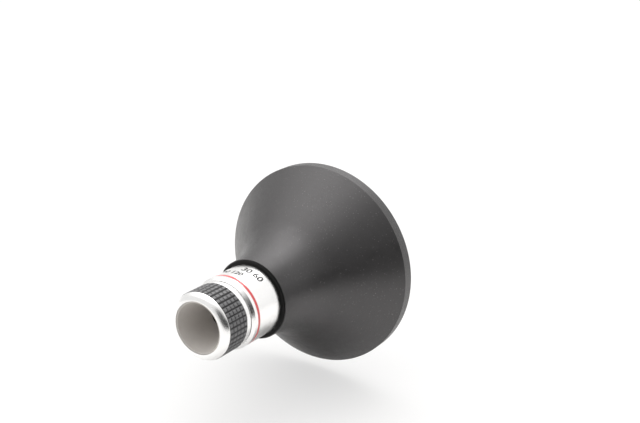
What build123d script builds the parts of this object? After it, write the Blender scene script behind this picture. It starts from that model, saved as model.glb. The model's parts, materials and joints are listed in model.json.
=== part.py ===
from build123d import *
import os
from math import copysign, cos, radians, sin, sqrt, tan

# A trumpet-shaped adapter has a 42 mm thread at its wide end and carries a low-power microscope objective in
# its tip. The optical axis is Y: the front looks along -Y, and Z is up. The origin is the centre of the face
# at the back of the rim, where it seats. A station is a distance forward of that face, so station s lies at
# y = -s. All sizes are in millimetres, and a name that ends in _D is a diameter.

# Running gap between nested cylinders, and between glass and what it touches
FIT = 0.05
SEAT = 0.02

# Adapter body
MOUNT_D = 42.0
MOUNT_L = 5.0
MOUNT_CHAMFER = 0.5
MOUNT_WALL = 3.0
RIM_D = 71.6
RIM_T = 4.2
RIM_CHAMFER = 0.3
ADAPTER_L = 42.45
FLARE_ANGLE = 40.0
NECK_WALL = 1.53
LIGHT_STEPS = 8

# Threaded insert in the tip of the adapter
RMS_D = 20.32
RMS_L = 4.5
INSERT_L = 6.0
INSERT_WALL = 1.7
INSERT_LIP = 0.85
INSERT_FLANGE_T = 0.5
INSERT_CHAMFER = 0.2

# Shim between the insert and the barrel
SHIM_T = 0.2
SHIM_INSET = 0.3

# Inner tube of the objective
THREAD_WALL = 1.56
THREAD_CHAMFER = 0.4
RELIEF_W = 0.6
RELIEF_DEPTH = 0.4
TUBE_WALL = 1.4
TUBE_L = 11.5
TUBE_FLANGE_L = 4.0

# Outer barrel
SHOULDER_W = 1.84
SKIRT_WALL = 0.75
FOOT_CHAMFER = 0.1
BARREL_L = 13.3
TAPER_L = 0.95
TAPER_DEPTH = 0.8
TAPER_EDGE = 0.15
BAND_AT = 10.95
BAND_W = 1.1
BAND_DEPTH = 0.25

# Front sleeve, knurled grip and front ring
SPLIT_W = 0.3
SPIGOT_WALL = 2.0
NOSE_FLANGE_T = 1.75
NOSE_FLANGE_STEP = 0.9
NOSE_FLANGE_EDGE = 0.15
GRIP_L = 8.6
GRIP_T = 1.1
KNURL_COUNT = 40
KNURL_ROWS = 5
KNURL_DEPTH = 0.34
NOSE_STEP = 0.15
NOSE_EDGE = 0.2
NOSE_L = 1.94
NOSE_LAND = 0.18
NOSE_CROWN = 0.18
NOSE_ROUND = 0.15
MOUTH_ROUND = 0.08
NOSE_SKIRT_L = 2.9
NOSE_SKIRT_T = 0.65

# Cone inside the front ring
BAFFLE_WALL = 0.45
BAFFLE_RECESS = 0.2
BAFFLE_FLANGE_T = 0.5

# Glass, cells and rings. Each doublet has its flint in front, and a curve is a radius of curvature.
CELL_WALL = 2.45
REAR_CELL_WALL = 2.85
LIP_T = 0.8
LIP_W = 1.3
GLASS_FRONT = {"flint_curve": 40.0, "joint_curve": 14.0, "crown_curve": 18.0, "flint_t": 1.5, "crown_t": 3.2}
GLASS_REAR = {"flint_curve": 45.0, "joint_curve": 16.0, "crown_curve": 22.0, "flint_t": 1.2, "crown_t": 2.4}
RETAINER_T = 0.95
RETAINER_W = 1.05
CELL_TAIL = 0.3
SLOT_W = 1.0
SLOT_DEPTH = 0.45
LOCK_RING_T = 1.0
LOCK_RING_W = 2.4
LOCK_RING_INSET = 0.1
SPACER_L = 6.4
SPACER_WALL = 1.2
STOP_T = 0.3
STOP_D = 6.4

# Radii that follow from the sizes above, from the thread outwards and then inwards
rms_r = RMS_D / 2
insert_bore_r = rms_r + FIT
insert_r = insert_bore_r + INSERT_WALL
neck_r = insert_r + FIT + NECK_WALL
rim_r = RIM_D / 2
mount_r = MOUNT_D / 2
light_back_r = mount_r - MOUNT_WALL
light_front_r = insert_bore_r - INSERT_LIP
barrel_r = rms_r + SHOULDER_W
tube_flange_r = barrel_r - SKIRT_WALL - FIT
bore_r = rms_r - THREAD_WALL
tube_r = bore_r + TUBE_WALL
spigot_r = bore_r + SPIGOT_WALL
nose_flange_r = barrel_r - NOSE_FLANGE_STEP
grip_r = tube_r + FIT + GRIP_T
nose_r = grip_r - NOSE_STEP
mouth_r = bore_r
skirt_r = mouth_r + NOSE_SKIRT_T
stack_r = bore_r - FIT
front_lens_r = stack_r - CELL_WALL - FIT
rear_lens_r = stack_r - REAR_CELL_WALL - FIT

# Stations of the objective, forward from the foot of the barrel
insert_face = ADAPTER_L + INSERT_FLANGE_T
foot = insert_face + SHIM_T
tube_back = foot - RMS_L
tube_front = foot + TUBE_L
sleeve_front = foot + BARREL_L + TAPER_L
nose_flange_back = sleeve_front + SPLIT_W
grip_back = nose_flange_back + NOSE_FLANGE_T
grip_front = grip_back + GRIP_L
nose_front = grip_front + NOSE_L
skirt_back = grip_front - NOSE_SKIRT_L


def turned(corners):
    """Solid of revolution about the optical axis, from (station, radius) corners."""
    points = [(radius, -station) for station, radius in corners]
    return revolve(make_face(Polyline(*points, close=True)), Axis.Y)


def ring(back, front, outer_r, inner_r):
    """Plain tube between two stations."""
    return turned([(back, inner_r), (back, outer_r), (front, outer_r), (front, inner_r)])


def rounded(solid, station, radius, round_r):
    """Round the circular edge at one station and radius."""
    def is_there(edge):
        middle = edge.arc_center
        return abs(middle.Y + station) < 1e-4 and abs(edge.radius - radius) < 1e-4

    edges = solid.edges().filter_by(GeomType.CIRCLE).filter_by(is_there)
    return fillet(edges, round_r)


def slotted(solid, back, outer_r):
    """Cut the spanner slot across the back face of a ring."""
    slot = Box(2 * outer_r + 2, 2 * SLOT_DEPTH, SLOT_W)
    return solid - Pos(0, -back, 0) * slot


def adapter_inside():
    """Corners of the stepped light path, from the back end forward to the seat of the insert."""
    seat = ADAPTER_L - INSERT_L
    step_l = (seat + MOUNT_L) / LIGHT_STEPS
    step_r = (light_back_r - light_front_r) / (LIGHT_STEPS - 1)
    corners = []
    for i in range(LIGHT_STEPS):
        radius = light_back_r - i * step_r
        corners.append((radius, MOUNT_L - i * step_l))
        corners.append((radius, MOUNT_L - (i + 1) * step_l))
    return corners


def cone_body():
    """Printed trumpet: a neck that curves into a straight flare, a rim band and the 42 mm thread."""
    flare = radians(FLARE_ANGLE)
    length = ADAPTER_L - RIM_T
    rise = rim_r - neck_r
    arc_r = (length * tan(flare) - rise) / (1 / cos(flare) - 1)

    def on_arc(angle):
        return (neck_r + arc_r * (1 - cos(angle)), -ADAPTER_L + arc_r * sin(angle))

    curve = ThreePointArc(on_arc(0), on_arc(flare / 2), on_arc(flare))
    outside = Polyline(
        on_arc(flare),
        (rim_r, -RIM_T),
        (rim_r, -RIM_CHAMFER),
        (rim_r - RIM_CHAMFER, 0),
        (mount_r, 0),
        (mount_r, MOUNT_L - MOUNT_CHAMFER),
        (mount_r - MOUNT_CHAMFER, MOUNT_L),
        *adapter_inside(),
        (insert_r + FIT, -(ADAPTER_L - INSERT_L)),
        (insert_r + FIT, -ADAPTER_L),
        on_arc(0),
    )
    return revolve(make_face([curve, *outside.edges()]), Axis.Y)


def thread_ring():
    """Metal insert with a flange, bored for the objective's thread."""
    back = ADAPTER_L - INSERT_L
    return turned([
        (back, insert_bore_r),
        (back, insert_r),
        (ADAPTER_L, insert_r),
        (ADAPTER_L, neck_r),
        (insert_face - INSERT_CHAMFER, neck_r),
        (insert_face, neck_r - INSERT_CHAMFER),
        (insert_face, insert_bore_r),
    ])


def shim_ring():
    """Thin washer that travels with the shoulder of the barrel."""
    return ring(insert_face, foot, barrel_r - SHIM_INSET, rms_r + FIT)


def body_tube():
    """Inner tube: the male thread with its relief, the shoulder and the long bore for the cells."""
    relief_r = rms_r - RELIEF_DEPTH
    return turned([
        (tube_back, bore_r),
        (tube_back, rms_r - THREAD_CHAMFER),
        (tube_back + THREAD_CHAMFER, rms_r),
        (foot - RELIEF_W, rms_r),
        (foot - RELIEF_W, relief_r),
        (foot, relief_r),
        (foot, tube_flange_r),
        (foot + TUBE_FLANGE_L, tube_flange_r),
        (foot + TUBE_FLANGE_L, tube_r),
        (tube_front, tube_r),
        (tube_front, bore_r),
    ])


def outer_sleeve():
    """Barrel skin: a straight cylinder with the groove for the colour band, then a taper to the split."""
    band_back = foot + BAND_AT
    band_front = band_back + BAND_W
    groove_r = barrel_r - BAND_DEPTH
    skin = turned([
        (foot, tube_flange_r + FIT),
        (foot, barrel_r - FOOT_CHAMFER),
        (foot + FOOT_CHAMFER, barrel_r),
        (band_back, barrel_r),
        (band_back, groove_r),
        (band_front, groove_r),
        (band_front, barrel_r),
        (foot + BARREL_L, barrel_r),
        (sleeve_front, barrel_r - TAPER_DEPTH),
        (sleeve_front, spigot_r + FIT),
        (tube_front - SPLIT_W, spigot_r + FIT),
        (tube_front - SPLIT_W, tube_r + FIT),
        (foot + TUBE_FLANGE_L, tube_r + FIT),
        (foot + TUBE_FLANGE_L, tube_flange_r + FIT),
    ])
    return rounded(skin, sleeve_front, barrel_r - TAPER_DEPTH, TAPER_EDGE)


def red_band():
    """Enamel inlay, flush with the barrel."""
    back = foot + BAND_AT
    return ring(back, back + BAND_W, barrel_r, barrel_r - BAND_DEPTH)


def nose_sleeve():
    """Front sleeve: a spigot in the barrel, a flange behind the grip and a neck under it."""
    sleeve = turned([
        (tube_front, bore_r),
        (tube_front, spigot_r),
        (nose_flange_back, spigot_r),
        (nose_flange_back, nose_flange_r),
        (grip_back, nose_flange_r),
        (grip_back, tube_r),
        (grip_front, tube_r),
        (grip_front, skirt_r + FIT),
        (skirt_back - BAFFLE_FLANGE_T, skirt_r + FIT),
        (skirt_back - BAFFLE_FLANGE_T, bore_r),
    ])
    sleeve = rounded(sleeve, nose_flange_back, nose_flange_r, NOSE_FLANGE_EDGE)
    return rounded(sleeve, grip_back, nose_flange_r, NOSE_FLANGE_EDGE)


def grip_ring():
    """Knurled ring: grooves round it and along it leave rows of square studs."""
    row_l = GRIP_L / KNURL_ROWS
    root_r = grip_r - KNURL_DEPTH
    corners = [(grip_back, tube_r + FIT), (grip_back, root_r)]
    for i in range(KNURL_ROWS):
        row_back = grip_back + i * row_l
        corners.append((row_back + KNURL_DEPTH, grip_r))
        corners.append((row_back + row_l - KNURL_DEPTH, grip_r))
        corners.append((row_back + row_l, root_r))
    corners.append((grip_front, tube_r + FIT))
    blank = turned(corners)

    over = 1.0
    mouth_w = KNURL_DEPTH + over
    section = Polyline((root_r, 0), (grip_r + over, mouth_w), (grip_r + over, -mouth_w), close=True)
    cutter = extrude(Plane.XZ * make_face(section), GRIP_L / 2 + over, both=True)
    middle = Pos(0, -(grip_back + GRIP_L / 2), 0)
    turns = [Rot(0, 360 * i / KNURL_COUNT, 0) for i in range(KNURL_COUNT)]
    return blank - [middle * turn * cutter for turn in turns]


def nose_ring():
    """Front ring: a crowned bevel round the mouth, and a skirt that screws into the sleeve."""
    crest_r = mouth_r + NOSE_LAND
    bevel_back = grip_front + NOSE_EDGE
    width = sqrt((nose_front - bevel_back)**2 + (nose_r - crest_r)**2)
    out = NOSE_CROWN * (nose_front - bevel_back) / width
    forward = NOSE_CROWN * (nose_r - crest_r) / width
    middle = ((nose_r + crest_r) / 2 + out, -(nose_front + bevel_back) / 2 - forward)
    bevel = ThreePointArc((nose_r, -bevel_back), middle, (crest_r, -nose_front))
    rest = Polyline(
        (crest_r, -nose_front),
        (mouth_r, -nose_front),
        (mouth_r, -skirt_back),
        (skirt_r, -skirt_back),
        (skirt_r, -grip_front),
        (nose_r, -grip_front),
        (nose_r, -bevel_back),
    )
    body = revolve(make_face([bevel, *rest.edges()]), Axis.Y)
    body = rounded(body, bevel_back, nose_r, NOSE_ROUND)
    return rounded(body, nose_front, crest_r, MOUTH_ROUND)


def front_baffle(cell_front, lip_r):
    """Thin cone from the mouth down to the front cell, with a flange held under the front ring's skirt."""
    front = nose_front - BAFFLE_RECESS
    front_in = mouth_r - FIT - BAFFLE_WALL
    slope = (front_in - lip_r) / (front - cell_front)
    flange_back = skirt_back - BAFFLE_FLANGE_T

    def outside(station):
        return lip_r + slope * (station - cell_front) + BAFFLE_WALL

    return turned([
        (cell_front, lip_r),
        (cell_front, outside(cell_front)),
        (flange_back, outside(flange_back)),
        (flange_back, skirt_r),
        (skirt_back, skirt_r),
        (skirt_back, outside(skirt_back)),
        (front, outside(front)),
        (front, front_in),
    ])


def sagitta(curve, radius):
    """Signed depth of a curved face at one radius."""
    return curve - copysign(sqrt(curve**2 - radius**2), curve)


def lens(front, back, front_curve, back_curve, lens_r):
    """Glass element between two vertex stations. A positive curve bulges forward."""
    def at(vertex, curve, radius):
        return (radius, -(vertex - sagitta(curve, radius)))

    front_face = ThreePointArc(*[at(front, front_curve, share * lens_r) for share in (0, 0.5, 1)])
    back_face = ThreePointArc(*[at(back, back_curve, share * lens_r) for share in (0, 0.5, 1)])
    edge = Line(front_face @ 1, back_face @ 1)
    middle = Line(front_face @ 0, back_face @ 0)
    return revolve(make_face([front_face, edge, back_face, middle]), Axis.Y)


def doublet_cell_length(glass, lens_r):
    """Length of a cell from its lip to its tail."""
    lip_r = lens_r - LIP_W
    retainer_r = lens_r - RETAINER_W
    glass_t = glass["flint_t"] + glass["crown_t"] + 2 * SEAT
    seat = sagitta(glass["flint_curve"], lip_r)
    hollow = sagitta(glass["crown_curve"], retainer_r)
    return LIP_T + glass_t + SEAT - seat - hollow + RETAINER_T + CELL_TAIL


def doublet(front, glass, lens_r):
    """Cell, flint, crown and retaining ring of one group whose lip starts at the front station."""
    lip_r = lens_r - LIP_W
    retainer_r = lens_r - RETAINER_W
    back = front - doublet_cell_length(glass, lens_r)
    cell = turned([
        (back, lens_r + FIT),
        (back, stack_r),
        (front, stack_r),
        (front, lip_r),
        (front - LIP_T, lip_r),
        (front - LIP_T, lens_r + FIT),
    ])
    flint_front = front - LIP_T + sagitta(glass["flint_curve"], lip_r) - SEAT
    flint_back = flint_front - glass["flint_t"]
    flint = lens(flint_front, flint_back, glass["flint_curve"], glass["joint_curve"], lens_r)
    crown_front = flint_back - SEAT
    crown_back = crown_front - glass["crown_t"]
    crown = lens(crown_front, crown_back, glass["joint_curve"], -glass["crown_curve"], lens_r)
    ring_front = crown_back + sagitta(glass["crown_curve"], retainer_r) - SEAT
    ring_back = ring_front - RETAINER_T
    retainer = slotted(ring(ring_back, ring_front, lens_r, retainer_r), ring_back, lens_r)
    return {"cell": cell, "flint": flint, "crown": crown, "retainer": retainer}


def optics():
    """The stack inside the inner tube, from the lock ring at the back to the front cell."""
    lock_back = tube_back + LOCK_RING_INSET
    rear_back = lock_back + LOCK_RING_T
    stop_back = rear_back + doublet_cell_length(GLASS_REAR, rear_lens_r)
    spacer_back = stop_back + STOP_T
    front_back = spacer_back + SPACER_L
    cell_front = front_back + doublet_cell_length(GLASS_FRONT, front_lens_r)
    lock = ring(lock_back, rear_back, stack_r, stack_r - LOCK_RING_W)
    parts = {
        "lock_ring": slotted(lock, lock_back, stack_r),
        "aperture_stop": ring(stop_back, spacer_back, stack_r, STOP_D / 2),
        "spacer_tube": ring(spacer_back, front_back, stack_r, stack_r - SPACER_WALL),
        "front_baffle": front_baffle(cell_front, front_lens_r - LIP_W),
    }
    groups = {
        "rear": doublet(stop_back, GLASS_REAR, rear_lens_r),
        "front": doublet(cell_front, GLASS_FRONT, front_lens_r),
    }
    for place, group in groups.items():
        for name, solid in group.items():
            parts[f"{place}_{name}"] = solid
    return parts


parts = {
    "cone_body": cone_body(),
    "thread_ring": thread_ring(),
    "shim_ring": shim_ring(),
    "body_tube": body_tube(),
    "outer_sleeve": outer_sleeve(),
    "red_band": red_band(),
    "nose_sleeve": nose_sleeve(),
    "grip_ring": grip_ring(),
    "nose_ring": nose_ring(),
    **optics(),
}

os.makedirs("parts", exist_ok=True)
for name, solid in parts.items():
    solid.label = name
    export_step(solid, f"parts/{name}.step")
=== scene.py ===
import json
from math import cos, pi, radians, sin, sqrt, tan

import bmesh
import bpy
from mathutils import Matrix, Vector


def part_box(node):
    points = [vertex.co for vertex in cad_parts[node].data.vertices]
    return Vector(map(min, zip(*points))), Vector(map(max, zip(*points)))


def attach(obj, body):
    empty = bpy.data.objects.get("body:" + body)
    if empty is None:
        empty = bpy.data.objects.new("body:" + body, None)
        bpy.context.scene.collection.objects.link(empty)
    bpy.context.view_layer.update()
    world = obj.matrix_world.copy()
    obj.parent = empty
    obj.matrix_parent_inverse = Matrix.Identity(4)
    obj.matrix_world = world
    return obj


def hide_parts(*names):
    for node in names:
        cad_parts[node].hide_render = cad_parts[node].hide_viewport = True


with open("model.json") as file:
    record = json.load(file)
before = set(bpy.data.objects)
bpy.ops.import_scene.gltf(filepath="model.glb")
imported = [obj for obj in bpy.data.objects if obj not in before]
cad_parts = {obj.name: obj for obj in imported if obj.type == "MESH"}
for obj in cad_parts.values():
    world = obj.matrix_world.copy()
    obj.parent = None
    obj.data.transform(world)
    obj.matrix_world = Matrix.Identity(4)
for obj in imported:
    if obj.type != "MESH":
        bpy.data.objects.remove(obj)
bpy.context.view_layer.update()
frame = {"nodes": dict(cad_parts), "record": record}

# Everything is in metres, in the frame of the solids: the optical axis is Y and the front looks along -Y.
MM = 0.001

# Camera: its focal length and sensor in mm, its place and range, and where it looks from, in degrees
FOCAL_LENGTH = 59.65
SENSOR_W = 36
CAMERA_PLACE = (0.18686, -0.29808, 0.13726)
CAMERA_NEAR = 0.01
CAMERA_FAR = 20
CAMERA_AZIMUTH = 32.308
CAMERA_ELEVATION = 18.645
CAMERA_ROLL = 1.73

# Floor: a disk that ends close by on the right, so that it brightens the right side of the object less. The
# lift is the share of plain white in what shows of it.
FLOOR_DROP = 40 * MM
FLOOR_R = 3.0
FLOOR_PLACE = (-2.62, 0.70)
FLOOR_SEGMENTS = 192
FLOOR_COLOR = (0.80, 0.795, 0.79, 1)
FLOOR_LIFT = 0.58

# Softbox
LAMP_PLACE = (-0.12, 0.38, 0.80)
LAMP_SIZE = 0.75
LAMP_RADIANCE = 1.6

# Light from all round: its level and tint, the level that shows as backdrop, and the patches where it is
# brighter or dimmer. A patch is (azimuth, elevation, angle of its edge, angle of its core, strength).
WORLD_LEVEL = 0.85
WORLD_TINT = (1.0, 0.995, 0.985, 1)
BACKDROP_LEVEL = 1.0
BRIGHT_OVERHEAD = (265, 74, 53, 16, 1.25)
BRIGHT_BEHIND = (168, 8, 62, 22, 0.25)
DIM_RIGHT = (92, 0, 46, 22, 0.75)
DIM_RIGHT_FRONT = (66, 0, 28, 10, 0.9)
DIM_FRONT = (38, 14, 35, 18, 0.92)

# Elevations at which the dim patch on the right ends and is full
DIM_RIGHT_TOP = 26
DIM_RIGHT_FULL = 10

# Printed body, where its outline isn't plain from its box
RIM_T = 4.2 * MM
RIM_CHAMFER = 0.3 * MM
FLARE_ANGLE = radians(40)
ARC_STEPS = 40
RUN_STEPS = 12
NECK_R = 13.49 * MM
NECK_WALL = 1.53 * MM
INSERT_LIP = 0.85 * MM
LIGHT_STEPS = 8

# Print layers: their thickness, and how far they wander
LAYER = 0.16 * MM
LAYER_WANDER = 0.1 * MM

# Threaded spigot behind the seating face. The relief at the foot of its thread is as long as it is deep.
MOUNT_D = 42 * MM
MOUNT_CHAMFER = 0.5 * MM
MOUNT_WALL = 3 * MM
MOUNT_PITCH = 1 * MM
MOUNT_DEPTH = 0.6134 * MOUNT_PITCH
MOUNT_RELIEF = 0.6 * MM
MOUNT_LEAD = 0.1 * MM

# Thread of the objective, 36 turns per inch. The thread in the insert is larger by the clearance.
RMS_R = 10.16 * MM
RMS_PITCH = 25.4 / 36 * MM
RMS_DEPTH = 0.64 * RMS_PITCH
THREAD_CHAMFER = 0.4 * MM
RELIEF_W = 0.6 * MM

# Slope of the flanks, between the 30 degrees of the spigot's thread and the 27.5 of the objective's
FLANK_ANGLE = radians(28.5)

# Radial clearance between a piece and the one that it sits in or on
FIT = 0.05 * MM

# Inner tube of the objective
TUBE_BORE_R = 8.6 * MM
TUBE_R = 10.0 * MM
TUBE_FLANGE_R = 11.2 * MM
TUBE_FLANGE_L = 4.0 * MM

# Insert: its chamfer, the thickness of its flange, and how far the flange stays inside the solid's edge
INSERT_CHAMFER = 0.2 * MM
INSERT_FLANGE_T = 0.5 * MM
INSERT_INSET = 0.3 * MM

# Knurl: studs round the grip, rows along it, the depth of the grooves that run along it and round it, and
# the share of that depth over which a stud's edge is rounded to each side
KNURL_COUNT = 40
KNURL_ROWS = 5
LONG_GROOVE = 0.42 * MM
ROUND_GROOVE = 0.25 * MM
KNURL_CORNER = 0.22

# Front ring: the land round its mouth, its skirt and edge, and the rise of its bevel
NOSE_LAND = 0.18 * MM
NOSE_SKIRT_T = 0.65 * MM
NOSE_EDGE = 0.2 * MM
NOSE_CROWN = 0.3 * MM
NOSE_STEPS = 24

# Numbers on the barrel: (text, height, station of the baseline from the barrel's foot, angle of the text's
# end from the top, negative towards +X), and a digit's height as a share of the type size
NUMBER_ROWS = [("30 60", 2.5 * MM, 4.9 * MM, -37), ("90 120", 2.0 * MM, 8.5 * MM, -12)]
NUMBER_WEIGHT = 0.035
NUMBER_RELIEF = 0.006 * MM
NUMBER_DEPTH = 0.04 * MM
NUMBER_SLICES = 80
DIGIT_SHARE = 0.7

# Turned surfaces: columns round the axis, the distance at which points merge, and the angle of a sharp edge
SEGMENTS = 256
WELD = 0.0001 * MM
SHARP_ANGLE = radians(32)


def reach(node):
    """(back, front, outer radius) of a turned solid."""
    low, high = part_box(node)
    return high.y, low.y, high.x


def outline_row(y, r):
    """One ring of a turned surface: the same place at every turn."""
    return lambda turn: (y, r)


def thread_rows(back, front, pitch, outer_r, inner_r, phase=0.0, run_out_r=None):
    """Rings of a right-hand thread between two places on the axis, which run from back to front.

    Each ring climbs one pitch in a turn, so that the last column of the surface meets the first one."""
    flank = (outer_r - inner_r) * tan(FLANK_ANGLE) / pitch
    flat = (1 - 2 * flank) / 2
    marks = [(0, outer_r), (flat, outer_r), (flat + flank, inner_r), (2 * flat + flank, inner_r)]
    end_r = inner_r if run_out_r is None else run_out_r
    spare_turns = 3
    turns = int((back - front) / pitch) + spare_turns

    def ring(step, share, r):
        def at(turn):
            y = back - (step - 1 + share + turn - phase) * pitch
            if y >= back:
                return (back, end_r)
            if y <= front:
                return (front, end_r)
            return (y, r)
        return at

    return [ring(step, share, r) for step in range(turns) for share, r in marks]


def place_object(name, data):
    """New object in the scene."""
    thing = bpy.data.objects.new(name, data)
    bpy.context.scene.collection.objects.link(thing)
    return thing


def add_column(bm, angle, places):
    """Points at (y, radius) places, at an angle about the axis from X to Z."""
    return [bm.verts.new((r * cos(angle), y, r * sin(angle))) for y, r in places]


def join_columns(bm, pairs):
    """Faces between neighbouring columns, each of which closes on itself."""
    for near, far in pairs:
        for j in range(len(near)):
            k = (j + 1) % len(near)
            bm.faces.new((near[j], near[k], far[k], far[j]))


def finished_piece(name, bm):
    """Piece with these faces, shaded smooth except across sharp edges."""
    bmesh.ops.recalc_face_normals(bm, faces=bm.faces)
    for face in bm.faces:
        face.smooth = True
    for edge in bm.edges:
        edge.smooth = edge.calc_face_angle(0) < SHARP_ANGLE
    mesh = bpy.data.meshes.new(name)
    bm.to_mesh(mesh)
    bm.free()
    return place_object(name, mesh)


def turned(name, rows):
    """Turned piece. Each row gives (y, radius) at a turn from 0 to 1 about the axis, from X to Z."""
    bm = bmesh.new()
    columns = []
    for i in range(SEGMENTS + 1):
        turn = i / SEGMENTS
        columns.append(add_column(bm, 2 * pi * turn, [row(turn) for row in rows]))
    join_columns(bm, zip(columns, columns[1:]))
    bmesh.ops.remove_doubles(bm, verts=bm.verts, dist=WELD)
    bmesh.ops.dissolve_degenerate(bm, edges=bm.edges, dist=WELD)
    return finished_piece(name, bm)


def add_node(tree, kind, inputs=None, **settings):
    """New shader node. An input is a number, a colour, or another node's output."""
    node = tree.nodes.new(kind)
    for key, value in settings.items():
        setattr(node, key, value)
    for key, value in (inputs or {}).items():
        if isinstance(value, bpy.types.NodeSocket):
            tree.links.new(value, node.inputs[key])
        else:
            node.inputs[key].default_value = value
    return node


def math_node(tree, operation, *values):
    """Result of an operation on numbers and other nodes' outputs."""
    return add_node(tree, "ShaderNodeMath", dict(enumerate(values)), operation=operation).outputs[0]


def object_place(tree):
    """Place on the piece, in metres."""
    return add_node(tree, "ShaderNodeTexCoord").outputs["Object"]


def noise(tree, size, stretch=(1, 1, 1), detail=3.0, roughness=0.55):
    """Noise with features of about one size in metres, drawn out by the stretch along X, Y and Z."""
    scale = tuple(1 / (size * part) for part in stretch)
    place = add_node(tree, "ShaderNodeMapping", {"Vector": object_place(tree), "Scale": scale}).outputs[0]
    return add_node(
        tree,
        "ShaderNodeTexNoise",
        {"Vector": place, "Scale": 1.0, "Detail": detail, "Roughness": roughness},
    ).outputs["Fac"]


def ring_noise(tree, pitch, spread=60, detail=2.0):
    """Noise that hardly changes round the axis: rings, such as turning or print layers leave."""
    return noise(tree, pitch, (spread, 1, spread), detail=detail)


def remap(tree, value, low, high, to_low=0.0, to_high=1.0, smooth=False):
    """The value, carried from one range to another and kept within it."""
    return add_node(
        tree,
        "ShaderNodeMapRange",
        {"Value": value, "From Min": low, "From Max": high, "To Min": to_low, "To Max": to_high},
        interpolation_type="SMOOTHSTEP" if smooth else "LINEAR",
    ).outputs[0]


def mixed(tree, share, first, second):
    """Colour between two colours or colour outputs, which are inputs 6 and 7 of the node."""
    return add_node(tree, "ShaderNodeMix", {0: share, 6: first, 7: second}, data_type="RGBA").outputs[2]


def bumped(tree, height, distance, normal=None):
    """Normal of a surface that rises by the height times a distance in metres."""
    inputs = {"Height": height, "Distance": distance, "Strength": 1.0}
    if normal is not None:
        inputs["Normal"] = normal
    return add_node(tree, "ShaderNodeBump", inputs).outputs[0]


def new_material(name, build):
    """Material whose shader sockets come from a function of its node tree."""
    material = bpy.data.materials.new(name)
    material.use_nodes = True
    tree = material.node_tree
    tree.nodes.clear()
    shader = add_node(tree, "ShaderNodeBsdfPrincipled", build(tree))
    output = add_node(tree, "ShaderNodeOutputMaterial")
    tree.links.new(shader.outputs[0], output.inputs["Surface"])
    return material


def printed_black(tree):
    """Satin black print: fine layers across the axis, faint mottling and a few grains of dust."""
    along = add_node(tree, "ShaderNodeSeparateXYZ", {"Vector": object_place(tree)}).outputs["Y"]
    wander = math_node(tree, "MULTIPLY", noise(tree, 6 * MM, detail=2.0), LAYER_WANDER)
    height = math_node(tree, "ADD", along, wander)
    layers = math_node(tree, "SINE", math_node(tree, "MULTIPLY", height, 2 * pi / LAYER))
    uneven = ring_noise(tree, 0.5 * MM, spread=30, detail=1.0)
    mottle = noise(tree, 2.5 * MM, detail=4.0)
    grain = noise(tree, 0.12 * MM, detail=2.0)
    dust = remap(tree, noise(tree, 0.38 * MM, detail=1.0, roughness=0.4), 0.71, 0.77)
    color = mixed(tree, mottle, (0.009, 0.009, 0.0095, 1), (0.016, 0.0155, 0.016, 1))
    color = mixed(tree, math_node(tree, "MULTIPLY", dust, 0.45), color, (0.35, 0.34, 0.33, 1))
    normal = bumped(tree, layers, 0.008 * MM)
    normal = bumped(tree, uneven, 0.02 * MM, normal)
    normal = bumped(tree, grain, 0.010 * MM, normal)
    return {
        "Base Color": color,
        "Specular Tint": (1.0, 0.97, 0.985, 1),
        "Roughness": remap(tree, mottle, 0.3, 0.7, 0.34, 0.42),
        "Specular IOR Level": 1.0,
        "Normal": normal,
    }


def anodised(dark, light, rough, gloss, lines):
    """Anodised aluminium between two greys, with fine lines round the axis."""
    def build(tree):
        cloud = noise(tree, 1.5 * MM, detail=4.0)
        return {
            "Base Color": mixed(tree, cloud, dark, light),
            "Roughness": remap(tree, cloud, 0.3, 0.7, rough - 0.04, rough + 0.06),
            "Specular IOR Level": gloss,
            "Normal": bumped(tree, ring_noise(tree, lines), 0.003 * MM),
        }
    return build


def grip_black(tree):
    """Black anodising, grainy, with a painted highlight on the tops of the studs, in patches."""
    across = add_node(
        tree, "ShaderNodeVectorMath", {0: object_place(tree), 1: (1, 0, 1)}, operation="MULTIPLY"
    ).outputs[0]
    radius = add_node(tree, "ShaderNodeVectorMath", {0: across}, operation="LENGTH").outputs["Value"]
    crest_r = reach("grip_ring")[2]
    cloud = noise(tree, 0.9 * MM, detail=4.0)
    grain = noise(tree, 0.1 * MM, detail=3.0)
    # Painted highlight: the tops of the studs are painted lighter grey and a little glossier, in patches.
    top = remap(tree, radius, crest_r - 0.7 * ROUND_GROOVE, crest_r, smooth=True)
    crest_highlight = math_node(tree, "MULTIPLY", top, remap(tree, cloud, 0.3, 0.65, 0.6, 1.0))
    base = mixed(tree, grain, (0.014, 0.014, 0.015, 1), (0.026, 0.026, 0.028, 1))
    return {
        "Base Color": mixed(tree, crest_highlight, base, (0.125, 0.124, 0.130, 1)),
        "Roughness": remap(tree, crest_highlight, 0.0, 1.0, 0.52, 0.42),
        "Specular IOR Level": 1.0,
        "Normal": bumped(tree, grain, 0.004 * MM),
    }


def turned_metal(dark, light, rough, lines, depth):
    """Bare or plated metal with fine lines round the axis and a slightly cloudy polish."""
    def build(tree):
        cloud = noise(tree, 4 * MM, detail=4.0)
        rings = ring_noise(tree, lines)
        both = math_node(tree, "ADD", cloud, rings)
        return {
            "Base Color": mixed(tree, cloud, dark, light),
            "Metallic": 1.0,
            "Roughness": remap(tree, both, 0.6, 1.4, rough - 0.03, rough + 0.04),
            "Normal": bumped(tree, rings, depth),
        }
    return build


def red_enamel(tree):
    """Glossy red inlay, slightly uneven under its clear coat."""
    cloud = noise(tree, 0.8 * MM, detail=3.0)
    return {
        "Base Color": mixed(tree, cloud, (0.62, 0.012, 0.016, 1), (0.72, 0.018, 0.02, 1)),
        "Roughness": remap(tree, cloud, 0.3, 0.7, 0.26, 0.34),
        "Specular IOR Level": 0.8,
        "Coat Weight": 1.0,
        "Coat Roughness": 0.2,
        "Normal": bumped(tree, cloud, 0.006 * MM),
    }


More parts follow.
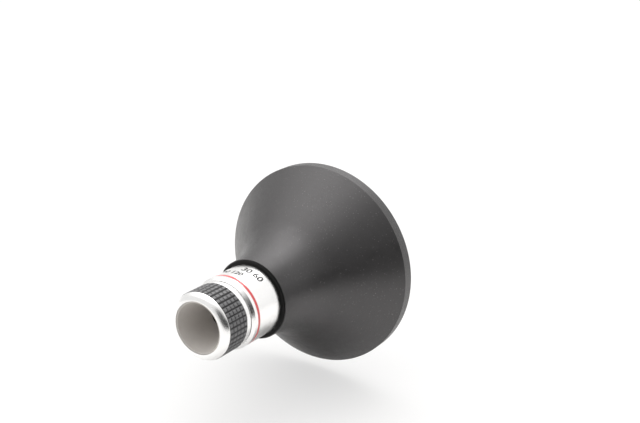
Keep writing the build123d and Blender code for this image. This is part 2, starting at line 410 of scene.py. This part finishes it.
def ink(tree):
    """Black ink of the numbers, slightly uneven."""
    cloud = noise(tree, 0.25 * MM, detail=2.0)
    return {
        "Base Color": mixed(tree, cloud, (0.012, 0.012, 0.013, 1), (0.03, 0.03, 0.03, 1)),
        "Roughness": 0.5,
        "Normal": bumped(tree, cloud, 0.004 * MM),
    }


def coated_glass(tree):
    """Polished glass with a faint blue-violet coating."""
    cloud = noise(tree, 3 * MM, detail=2.0)
    return {
        "Base Color": mixed(tree, cloud, (1.0, 1.0, 1.0, 1), (0.97, 0.985, 1.0, 1)),
        "Transmission Weight": 1.0,
        "Roughness": remap(tree, cloud, 0.3, 0.7, 0.01, 0.03),
        "IOR": 1.56,
        "Specular Tint": (0.6, 0.5, 1.0, 1),
    }


FINISHES = {
    "printed_black": printed_black,
    "anodised_black": anodised((0.007, 0.007, 0.007, 1), (0.012, 0.012, 0.012, 1), 0.55, 0.15, 0.12 * MM),
    "anodised_grey": anodised((0.53, 0.50, 0.475, 1), (0.59, 0.56, 0.53, 1), 0.6, 0.3, 0.15 * MM),
    "grip_black": grip_black,
    "steel": turned_metal((0.42, 0.42, 0.43, 1), (0.5, 0.5, 0.5, 1), 0.32, 0.08 * MM, 0.002 * MM),
    "brass": turned_metal((0.55, 0.4, 0.17, 1), (0.64, 0.49, 0.23, 1), 0.3, 0.08 * MM, 0.002 * MM),
    "satin_chrome": turned_metal(
        (0.93, 0.93, 0.93, 1), (0.96, 0.955, 0.95, 1), 0.25, 0.07 * MM, 0.0006 * MM
    ),
    "red_enamel": red_enamel,
    "glass": coated_glass,
    "ink": ink,
}
MATERIALS = {name: new_material(name, build) for name, build in FINISHES.items()}
SLOT_OF = {item["node"]: item["material_slot"] for item in frame["record"]["subparts"]}


def dress(piece, finish):
    """Give a piece one of the materials."""
    piece.data.materials.clear()
    piece.data.materials.append(MATERIALS[finish])


def stand_for(piece, node, body):
    """A finer piece takes a solid's place, and rides with its body."""
    dress(piece, SLOT_OF[node])
    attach(piece, body)
    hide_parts(node)


def flare_rows(tip, rim_r):
    """Outline from the tip to the rim: an arc that starts along the neck, then a straight run."""
    length = -tip - RIM_T
    arc_r = (length * tan(FLARE_ANGLE) - (rim_r - NECK_R)) / (1 / cos(FLARE_ANGLE) - 1)
    arc = []
    for i in range(ARC_STEPS + 1):
        angle = FLARE_ANGLE * i / ARC_STEPS
        arc.append((tip + arc_r * sin(angle), NECK_R + arc_r * (1 - cos(angle))))
    run_y, run_r = arc[-1]
    run = []
    for i in range(1, RUN_STEPS + 1):
        share = i / RUN_STEPS
        run.append((run_y + share * (-RIM_T - run_y), run_r + share * (rim_r - run_r)))
    return [outline_row(y, r) for y, r in arc + run]


def light_step_rows(back, front, back_r, front_r):
    """Outline of the bore from back to front, which narrows in steps that trap stray light."""
    step_l = (back - front) / LIGHT_STEPS
    step_r = (back_r - front_r) / (LIGHT_STEPS - 1)
    rows = []
    for i in range(LIGHT_STEPS):
        radius = back_r - i * step_r
        rows.append(outline_row(back - i * step_l, radius))
        rows.append(outline_row(back - (i + 1) * step_l, radius))
    return rows


def printed_cone():
    """The adapter as the solid has it, with the 42 mm thread cut into its spigot."""
    back, tip, rim_r = reach("cone_body")
    insert_back = reach("thread_ring")[0]
    insert_r = NECK_R - NECK_WALL
    mount_r = MOUNT_D / 2
    root_r = mount_r - MOUNT_DEPTH
    thread = thread_rows(back - MOUNT_CHAMFER, MOUNT_RELIEF, MOUNT_PITCH, mount_r, root_r)
    rows = [
        *flare_rows(tip, rim_r),
        outline_row(-RIM_CHAMFER, rim_r),
        outline_row(0, rim_r - RIM_CHAMFER),
        outline_row(0, mount_r - MOUNT_RELIEF),
        *reversed(thread),
        outline_row(back, root_r - MOUNT_LEAD),
        *light_step_rows(back, insert_back, mount_r - MOUNT_WALL, RMS_R + FIT - INSERT_LIP),
        outline_row(insert_back, insert_r),
        outline_row(tip, insert_r),
    ]
    stand_for(turned("adapter_cone", rows), "cone_body", "adapter")


def thread_phase(back):
    """Where in its pitch a thread starts, so that the thread of the objective meets that of the insert."""
    foot = reach("outer_sleeve")[0]
    return (foot - back) / RMS_PITCH % 1


def objective_tube():
    """The inner tube as the solid has it, with its thread cut."""
    back, front, _ = reach("body_tube")
    foot = reach("outer_sleeve")[0]
    root_r = RMS_R - RMS_DEPTH
    thread_back = back - THREAD_CHAMFER
    phase = thread_phase(thread_back)
    rows = [
        outline_row(back, TUBE_BORE_R),
        outline_row(back, root_r),
        *thread_rows(thread_back, foot + RELIEF_W, RMS_PITCH, RMS_R, root_r, phase),
        outline_row(foot, root_r),
        outline_row(foot, TUBE_FLANGE_R),
        outline_row(foot - TUBE_FLANGE_L, TUBE_FLANGE_R),
        outline_row(foot - TUBE_FLANGE_L, TUBE_R),
        outline_row(front, TUBE_R),
        outline_row(front, TUBE_BORE_R),
    ]
    stand_for(turned("objective_tube", rows), "body_tube", "objective")


def threaded_insert():
    """The insert with the thread in its bore, and with a flange a little smaller than the solid's."""
    back, face, neck_r = reach("thread_ring")
    flange_r = neck_r - INSERT_INSET
    outer_r = NECK_R - NECK_WALL - FIT
    groove_r = RMS_R + FIT
    thread = thread_rows(
        back, face, RMS_PITCH, groove_r, groove_r - RMS_DEPTH, thread_phase(back), run_out_r=groove_r
    )
    rows = [
        *reversed(thread),
        outline_row(back, outer_r),
        outline_row(face + INSERT_FLANGE_T, outer_r),
        outline_row(face + INSERT_FLANGE_T, flange_r),
        outline_row(face + INSERT_CHAMFER, flange_r),
        outline_row(face, flange_r - INSERT_CHAMFER),
    ]
    stand_for(turned("threaded_insert", rows), "thread_ring", "adapter")


def knurled_grip():
    """The grip with soft edges on its studs. The sides of the grooves slope at 45 degrees."""
    back, front, crest_r = reach("grip_ring")
    inner_r = TUBE_R + FIT
    row_l = (back - front) / KNURL_ROWS
    stud_w = 2 * pi * crest_r / KNURL_COUNT
    soft = KNURL_CORNER

    def marks(groove, width):
        """Shares of a stud's width where its outline bends, from one groove's middle to the next."""
        edges = [groove * (1 + k * soft) / width for k in (-1, -0.5, 0, 0.5, 1)]
        return [0.0, *edges, 0.5, *(1 - edge for edge in reversed(edges))]

    def drop(share, groove, width):
        """How far the surface lies under the top of the stud at a share of its width."""
        rise = min(share, 1 - share) * width / groove
        if rise >= 1 + soft:
            return 0.0
        if rise <= 1 - soft:
            return groove * (1 - rise)
        return groove * (1 + soft - rise)**2 / (4 * soft)

    bm = bmesh.new()
    columns = []
    for stud in range(KNURL_COUNT):
        for share in marks(LONG_GROOVE, stud_w):
            across = drop(share, LONG_GROOVE, stud_w)
            places = [(back, inner_r)]
            for row in range(KNURL_ROWS):
                for along in marks(ROUND_GROOVE, row_l):
                    down = max(across, drop(along, ROUND_GROOVE, row_l))
                    places.append((back - (row + along) * row_l, crest_r - down))
            places += [(front, crest_r - max(across, ROUND_GROOVE)), (front, inner_r)]
            columns.append(add_column(bm, 2 * pi * (stud + share) / KNURL_COUNT, places))
    join_columns(bm, zip(columns, columns[1:] + columns[:1]))
    stand_for(finished_piece("knurled_grip", bm), "grip_ring", "objective")


def bevelled_nose():
    """The front ring as the solid has it, with a fuller crown on its bevel and soft edges."""
    back, front, nose_r = reach("nose_ring")
    grip_front = reach("grip_ring")[1]
    crest_r = TUBE_BORE_R + NOSE_LAND
    skirt_r = TUBE_BORE_R + NOSE_SKIRT_T
    bevel_back = grip_front - NOSE_EDGE
    width = sqrt((bevel_back - front)**2 + (nose_r - crest_r)**2)
    outward = (bevel_back - front) / width
    forward = (nose_r - crest_r) / width
    rows = [outline_row(grip_front, nose_r)]
    for i in range(NOSE_STEPS + 1):
        share = i / NOSE_STEPS
        crown = 4 * NOSE_CROWN * share * (1 - share)
        y = bevel_back + share * (front - bevel_back) - forward * crown
        r = nose_r + share * (crest_r - nose_r) + outward * crown
        rows.append(outline_row(max(y, front), min(r, nose_r)))
    rows += [
        outline_row(front, TUBE_BORE_R),
        outline_row(back, TUBE_BORE_R),
        outline_row(back, skirt_r),
        outline_row(grip_front, skirt_r),
    ]
    stand_for(turned("bevelled_nose", rows), "nose_ring", "objective")


def flat_text(text, height):
    """Mesh of a line of text in the XY plane, with the end of its baseline at the origin."""
    curve = bpy.data.curves.new("numbers", "FONT")
    curve.body = text
    curve.align_x = "RIGHT"
    curve.size = height / DIGIT_SHARE
    curve.extrude = NUMBER_DEPTH / 2
    curve.offset = NUMBER_WEIGHT * height
    flat = place_object("flat_numbers", curve)
    bpy.context.view_layer.update()
    mesh = bpy.data.meshes.new_from_object(flat.evaluated_get(bpy.context.evaluated_depsgraph_get()))
    bpy.data.objects.remove(flat)
    return mesh


def slice_across(bm, count):
    """Cut a line of text that ends at x = 0 into strips, narrow enough to bend round the barrel."""
    left = min(v.co.x for v in bm.verts)
    for i in range(1, count):
        bmesh.ops.bisect_plane(
            bm,
            geom=bm.verts[:] + bm.edges[:] + bm.faces[:],
            plane_co=(left * i / count, 0, 0),
            plane_no=(1, 0, 0),
        )


def barrel_numbers():
    """Two rows of plain numbers inked on the barrel. Their tops point to the cone."""
    foot, _, barrel_r = reach("outer_sleeve")
    for index, (text, height, station, end_angle) in enumerate(NUMBER_ROWS, start=1):
        mesh = flat_text(text, height)
        bm = bmesh.new()
        bm.from_mesh(mesh)
        slice_across(bm, NUMBER_SLICES)
        for vert in bm.verts:
            angle = radians(90 + end_angle) - vert.co.x / barrel_r
            r = barrel_r + NUMBER_RELIEF - NUMBER_DEPTH / 2 + vert.co.z
            vert.co = Vector((r * cos(angle), foot - station + vert.co.y, r * sin(angle)))
        bmesh.ops.recalc_face_normals(bm, faces=bm.faces)
        bm.to_mesh(mesh)
        bm.free()
        numbers = place_object(f"barrel_numbers_{index}", mesh)
        dress(numbers, "ink")
        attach(numbers, "objective")


def dress_solids():
    """Each solid gets the detailed material of its slot."""
    for node, piece in frame["nodes"].items():
        dress(piece, SLOT_OF[node])


def shown_ray(tree):
    """1 for rays from the camera and through glass."""
    path = add_node(tree, "ShaderNodeLightPath").outputs
    return math_node(tree, "MAXIMUM", path["Is Camera Ray"], path["Is Transmission Ray"])


def make_floor():
    """Pale floor. What shows of it is partly plain white, so that the shadow on it stays light."""
    mesh = bpy.data.meshes.new("floor")
    bm = bmesh.new()
    bmesh.ops.create_circle(bm, cap_ends=True, segments=FLOOR_SEGMENTS, radius=FLOOR_R)
    bm.to_mesh(mesh)
    bm.free()
    floor = place_object("floor", mesh)
    floor.location = (*FLOOR_PLACE, -FLOOR_DROP)
    material = bpy.data.materials.new("floor")
    material.use_nodes = True
    tree = material.node_tree
    tree.nodes.clear()
    pale = {"Base Color": FLOOR_COLOR, "Roughness": 0.7, "Specular IOR Level": 0.2}
    shader = add_node(tree, "ShaderNodeBsdfPrincipled", pale)
    white = add_node(tree, "ShaderNodeEmission", {"Color": (1, 1, 1, 1), "Strength": 1.0})
    share = math_node(tree, "MULTIPLY", shown_ray(tree), FLOOR_LIFT)
    both = add_node(tree, "ShaderNodeMixShader", {0: share, 1: shader.outputs[0], 2: white.outputs[0]})
    output = add_node(tree, "ShaderNodeOutputMaterial")
    tree.links.new(both.outputs[0], output.inputs["Surface"])
    mesh.materials.append(material)


def direction(azimuth, elevation):
    """Unit vector. Azimuth 0 is the front, -Y, and 90 is +X."""
    turn, rise = radians(azimuth), radians(elevation)
    return (sin(turn) * cos(rise), -cos(turn) * cos(rise), sin(rise))


def make_world():
    """White light from all round, brighter overhead and behind, dimmer low on the right and in front."""
    world = bpy.data.worlds.new("studio")
    bpy.context.scene.world = world
    world.use_nodes = True
    tree = world.node_tree
    tree.nodes.clear()
    ray = add_node(tree, "ShaderNodeTexCoord").outputs["Generated"]
    rise = add_node(tree, "ShaderNodeSeparateXYZ", {"Vector": ray}).outputs["Z"]

    def patch(azimuth, elevation, edge, core):
        """1 within the core angle of a direction, falling to 0 at the edge angle."""
        toward = direction(azimuth, elevation)
        dot = add_node(tree, "ShaderNodeVectorMath", {0: ray, 1: toward}, operation="DOT_PRODUCT")
        return remap(tree, dot.outputs["Value"], cos(radians(edge)), cos(radians(core)), smooth=True)

    def dimmed(level, share, depth):
        """The level, lowered by a depth where the share is 1."""
        return math_node(tree, "MULTIPLY", level, math_node(tree, "MULTIPLY_ADD", share, -depth, 1.0))

    level = WORLD_LEVEL
    for *place, strength in (BRIGHT_OVERHEAD, BRIGHT_BEHIND):
        level = math_node(tree, "MULTIPLY_ADD", patch(*place), strength, level)
    *place, strength = DIM_RIGHT
    low = remap(tree, rise, sin(radians(DIM_RIGHT_TOP)), sin(radians(DIM_RIGHT_FULL)), smooth=True)
    level = dimmed(level, math_node(tree, "MULTIPLY", patch(*place), low), strength)
    for *place, strength in (DIM_RIGHT_FRONT, DIM_FRONT):
        level = dimmed(level, patch(*place), strength)
    seen = add_node(tree, "ShaderNodeLightPath").outputs["Is Camera Ray"]
    light = add_node(tree, "ShaderNodeBackground", {"Color": WORLD_TINT, "Strength": level})
    backdrop = add_node(tree, "ShaderNodeBackground", {"Color": (1, 1, 1, 1), "Strength": BACKDROP_LEVEL})
    both = add_node(tree, "ShaderNodeMixShader", {0: seen, 1: light.outputs[0], 2: backdrop.outputs[0]})
    output = add_node(tree, "ShaderNodeOutputWorld")
    tree.links.new(both.outputs[0], output.inputs["Surface"])


def make_lamp():
    """Large round softbox above and behind the object."""
    data = bpy.data.lights.new("softbox", "AREA")
    data.shape = "DISK"
    data.size = LAMP_SIZE
    area = pi * (LAMP_SIZE / 2)**2
    data.energy = LAMP_RADIANCE * pi * area
    lamp = place_object("softbox", data)
    lamp.location = LAMP_PLACE
    lamp.rotation_mode = "QUATERNION"
    lamp.rotation_quaternion = (-Vector(LAMP_PLACE)).to_track_quat("-Z", "Y")


def make_camera():
    """Camera at the viewing angle of the reference."""
    data = bpy.data.cameras.new("camera")
    data.sensor_width = SENSOR_W
    data.lens = FOCAL_LENGTH
    data.clip_start = CAMERA_NEAR
    data.clip_end = CAMERA_FAR
    camera = place_object("camera", data)
    side = Vector(direction(CAMERA_AZIMUTH, CAMERA_ELEVATION))
    look = (-side).to_track_quat("-Z", "Y").to_matrix()
    turn = look @ Matrix.Rotation(radians(CAMERA_ROLL), 3, "Z")
    camera.matrix_world = Matrix.Translation(CAMERA_PLACE) @ turn.to_4x4()
    bpy.context.scene.camera = camera


make_camera()
make_floor()
make_world()
make_lamp()
dress_solids()
printed_cone()
threaded_insert()
objective_tube()
knurled_grip()
bevelled_nose()
barrel_numbers()
bpy.context.scene.view_settings.view_transform = "Standard"
